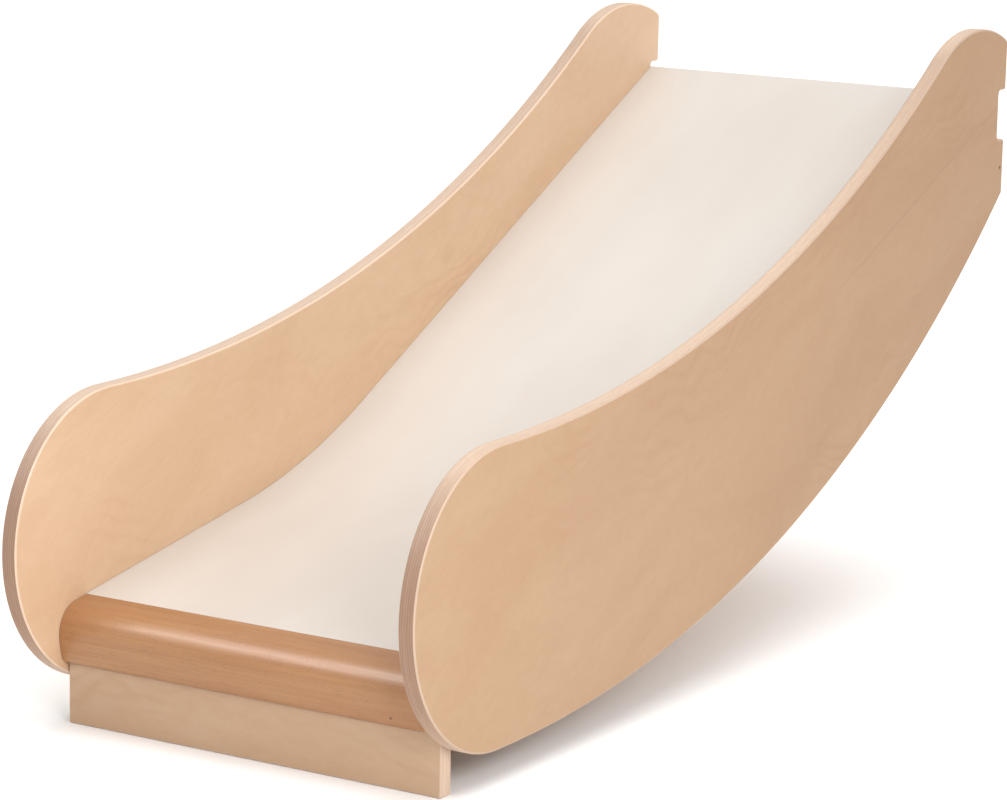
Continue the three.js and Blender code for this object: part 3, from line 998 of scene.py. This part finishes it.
class BuildFoot(bpy.types.Operator):
    """Builds the foot board and the cleat behind it"""

    bl_idname = "slide.foot"
    bl_label = "Foot board and cleat"

    def execute(self, context):
        scene = context.scene
        c, finish = scene.slide_cross, scene.slide_finish
        low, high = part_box("foot_board")
        outline = round_all(rectangle(low, high), c.board_arris * CORNER)
        foot = board("foot", outline, low.x, high.x, c.board_arris, steps=4)
        ply = plywood_material("Foot ply", finish, c.plies, (0.2, 0.7, 0.1), CROSSWISE, FOOT_PAINTED_SHADE)
        fixings = nodes_of("foot_dowel", "cleat_screw_forward")
        complete(foot, ply, "panel_ply", "foot_board", holes(fixings), through(low, high))

        low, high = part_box("foot_cleat")
        outline = round_all(rectangle(low, high), c.batten_arris * CORNER)
        cleat = board("cleat", outline, low.x, high.x, c.batten_arris, steps=3)
        complete(cleat, batten_material(finish), "batten", "foot_cleat", holes(nodes_of("cleat_screw")))
        return {"FINISHED"}


def rectangle(low, high):
    """The side view of a box of the frame."""
    left, right = low.y - FRONT, high.y - FRONT
    bottom, top = low.z - FLOOR, high.z - FLOOR
    return [Vector(p) for p in ((left, bottom), (right, bottom), (right, top), (left, top))]


def through(low, high):
    """Depth through an upright sheet that lies across the slide."""
    return lambda point, x: (point.x + FRONT - low.y) / (high.y - low.y)


class BuildRails(bpy.types.Operator):
    """Builds the rails that tie the panels together under the bed"""

    bl_idname = "slide.rails"
    bl_label = "Rails"

    def execute(self, context):
        scene = context.scene
        c, finish, profile = scene.slide_cross, scene.slide_finish, BedProfile(scene.slide_bed)
        under = profile.thickness + GAP
        for name in ("lower_rail", "upper_rail"):
            low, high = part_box(name)
            width, deep, middle = self.section(name, profile, low, high)
            height, slope = profile.at(middle, under)
            ahead = Vector((math.cos(slope), math.sin(slope)))
            down = Vector((ahead.y, -ahead.x))
            top = Vector((middle, height))
            half = ahead * width / 2
            corners = [top - half + down * deep, top + half + down * deep, top + half, top - half]
            outline = round_all(corners, c.batten_arris * CORNER)
            rail = board(name.replace("_rail", "_batten"), outline, low.x, high.x, c.batten_arris, steps=3)
            complete(rail, batten_material(finish), "batten", name, holes(nodes_of(f"{name}_")))

        low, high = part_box("rear_rail")
        front, back, foot = low.y - FRONT, high.y - FRONT, low.z - FLOOR
        rear_top, front_top = profile.at(back, under)[0], profile.at(front, under)[0]
        corners = [Vector(p) for p in ((front, foot), (back, foot), (back, rear_top), (front, front_top))]
        outline = round_all(corners, c.batten_arris)
        rear = board("rear_board", outline, low.x, high.x, c.batten_arris * PLY_ARRIS, steps=3)
        ply = plywood_material("Rear ply", finish, c.plies, (0.5, 0.3, 0.8), CROSSWISE)
        complete(rear, ply, "bed_ply", "rear_rail", holes(nodes_of("rear_rail_")), through(low, high))
        return {"FINISHED"}

    def section(self, name, profile, low, high):
        """Width, depth and place of a rail, from its box and the slope of the bed over it."""
        slope = profile.high if name == "upper_rail" else profile.low
        across_y, across_z = high.y - low.y, high.z - low.z
        turn = math.cos(slope) ** 2 - math.sin(slope) ** 2
        width = (across_y * math.cos(slope) - across_z * math.sin(slope)) / turn
        deep = (across_z * math.cos(slope) - across_y * math.sin(slope)) / turn
        middle = low.y - FRONT + width / 2 * math.cos(slope)
        return width, deep, middle


class DressDowels(bpy.types.Operator):
    """Gives the hidden dowels their wood"""

    bl_idname = "slide.dowels"
    bl_label = "Dowels"

    def execute(self, context):
        finish = context.scene.slide_finish
        wood = wood_material("Dowel wood", finish.batten, finish.batten_deep, flecks=0.4, rough=0.5)
        for node in DOWELS:
            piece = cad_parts[node]
            piece.data.materials.clear()
            piece.data.materials.append(wood)
        return {"FINISHED"}


class BuildScrews(bpy.types.Operator):
    """Builds the countersunk screws with a cross recess and thread"""

    bl_idname = "slide.screws"
    bl_label = "Screws"

    def execute(self, context):
        zinc = zinc_material(context.scene.slide_finish)
        for number, node in enumerate(SCREWS):
            middle, direction, long, radius = shaft(node)
            place = standing_on(middle + direction * long / 2, direction)
            screw = turned(f"{node}_driven", screw_profile(long, radius), SCREW_SIDES, place)
            turn = Matrix.Rotation(number * SCREW_TURN, 4, "Z")
            for wedge in self.recess(place @ turn, radius):
                cut(screw, [wedge])
            smooth(screw)
            dress(screw, zinc, "screw", node)
        return {"FINISHED"}

    def recess(self, place, radius):
        """Two crossed tapering wedges for the driver."""
        arm, thin, deep, above = (radius * share for share in (0.62, 0.13, 0.55, 0.1))
        mouth, foot_arm, foot_thin = 1.1, 0.35, 0.7  # sizes at the top and the foot, as shares
        outline = [(-arm, -thin), (arm, -thin), (arm, thin), (-arm, thin)]
        made = []
        for quarter in (0, math.pi / 2):
            shape = bmesh.new()
            spin = place @ Matrix.Rotation(quarter, 4, "Z")
            upper = [shape.verts.new(spin @ Vector((x * mouth, y * mouth, above))) for x, y in outline]
            lower = [shape.verts.new(spin @ Vector((x * foot_arm, y * foot_thin, -deep))) for x, y in outline]
            shape.faces.new(upper)
            shape.faces.new(list(reversed(lower)))
            for i in range(4):
                j = (i + 1) % 4
                shape.faces.new((lower[i], lower[j], upper[j], upper[i]))
            bmesh.ops.recalc_face_normals(shape, faces=shape.faces)
            made.append(finish_mesh("recess", shape))
        return made


class BuildStage(bpy.types.Operator):
    """Lays the floor and sets the lights and the camera"""

    bl_idname = "slide.stage"
    bl_label = "Stage"

    def execute(self, context):
        scene = context.scene
        self.floor(scene.slide_stage)
        self.lights(scene, scene.slide_stage)
        self.camera(scene)
        scene.view_settings.view_transform = "Standard"
        return {"FINISHED"}

    def floor(self, s):
        """A wide floor of pale paper, just under the slide."""
        half_width, cells, drop = 12, 8, 0.0002
        greyer, paper_share = (0.9, 0.9, 0.9), 0.02
        shape = bmesh.new()
        bmesh.ops.create_grid(shape, x_segments=cells, y_segments=cells, size=half_width)
        bmesh.ops.translate(shape, vec=(0, 0, FLOOR - drop), verts=shape.verts)
        piece = finish_mesh("floor", shape)
        made, graph, shader = material("Floor")
        paper = graph.math("MULTIPLY", graph.noise(graph.place(), scale=3), paper_share)
        graph.feed(shader.inputs["Base Color"], graph.mix(paper, s.floor, greyer))
        shader.inputs["Roughness"].default_value = 0.9
        shader.inputs["Specular IOR Level"].default_value = 0.1
        piece.data.materials.append(made)

    def lights(self, scene, s):
        """An even sky, a soft light from above and three from the front and the right."""
        world = bpy.data.worlds.new("Studio")
        world.use_nodes = True
        sky = world.node_tree.nodes["Background"]
        sky.inputs["Color"].default_value = WHITE
        sky.inputs["Strength"].default_value = s.sky
        scene.world = world
        aim = Vector((0, -0.9, -0.35))
        for name, kind, place, size, power in (
            ("Top light", "SUN", Vector((0.3, -0.6, 2.6)), 0.9, s.top),
            ("Right light", "AREA", Vector((1.9, -2.5, 0.7)), 0.8, s.right),
            ("Side light", "AREA", Vector((2.4, -1.3, 0.7)), 0.8, s.side),
            ("Gloss light", "AREA", Vector((-0.72, -1.9, 0.7)), 0.75, s.gloss),
        ):
            lamp = bpy.data.lights.new(name, kind)
            lamp.energy = power
            if kind == "SUN":
                lamp.angle = size
            else:
                lamp.size = size
            lit = bpy.data.objects.new(name, lamp)
            facing = (aim - place).to_track_quat("-Z", "Y").to_matrix().to_4x4()
            lit.matrix_world = Matrix.Translation(place) @ facing
            lit.visible_diffuse = name != "Gloss light"
            scene.collection.objects.link(lit)

    def camera(self, scene):
        """A long lens, above and to the right of the foot of the slide."""
        turn, tilt, roll = 0.5575501, 0.1971020, 0.0178355
        eye = Vector((2.06221, FRONT - 2.77635, FLOOR + 1.05952))
        spin = ((turn, "Z"), (math.pi / 2 - tilt, "X"), (roll, "Z"))
        heading, nod, lean = (Matrix.Rotation(angle, 4, axis) for angle, axis in spin)
        data = bpy.data.cameras.new("Camera")
        data.sensor_fit = "HORIZONTAL"
        data.sensor_width = 36.0
        data.lens = 135.556016
        data.clip_start = 0.05
        data.clip_end = 60
        view = bpy.data.objects.new("Camera", data)
        view.matrix_world = Matrix.Translation(eye) @ heading @ nod @ lean
        scene.collection.objects.link(view)
        scene.camera = view


class SlidePartsPanel(bpy.types.Panel):
    """Lists the slide's pieces in the sidebar"""

    bl_idname = "SLIDE_PT_parts"
    bl_label = "Toddler slide"
    bl_space_type = "VIEW_3D"
    bl_region_type = "UI"
    bl_category = "Slide"

    def draw(self, context):
        for step in STEPS:
            self.layout.operator(step.bl_idname)
        for key, kind in SETTINGS.items():
            box = self.layout.box()
            for name in kind.__annotations__:
                box.prop(getattr(context.scene, key), name)


SETTINGS = {
    "slide_panel": PanelSettings,
    "slide_bed": BedSettings,
    "slide_cross": CrossSettings,
    "slide_finish": FinishSettings,
    "slide_stage": StageSettings,
}
STEPS = (BuildPanels, BuildBed, BuildNose, BuildFoot, BuildRails, DressDowels, BuildScrews, BuildStage)


def register():
    for kind in (*SETTINGS.values(), *STEPS, SlidePartsPanel):
        bpy.utils.register_class(kind)
    for key, kind in SETTINGS.items():
        setattr(bpy.types.Scene, key, PointerProperty(type=kind))


def unregister():
    for key in SETTINGS:
        delattr(bpy.types.Scene, key)
    for kind in reversed((*SETTINGS.values(), *STEPS, SlidePartsPanel)):
        bpy.utils.unregister_class(kind)


def main():
    """Builds the whole slide."""
    register()
    bpy.ops.slide.stage()
    bpy.ops.slide.panels()
    bpy.ops.slide.bed()
    bpy.ops.slide.nose()
    bpy.ops.slide.foot()
    bpy.ops.slide.rails()
    bpy.ops.slide.dowels()
    bpy.ops.slide.screws()


if __name__ == "__main__":
    main()
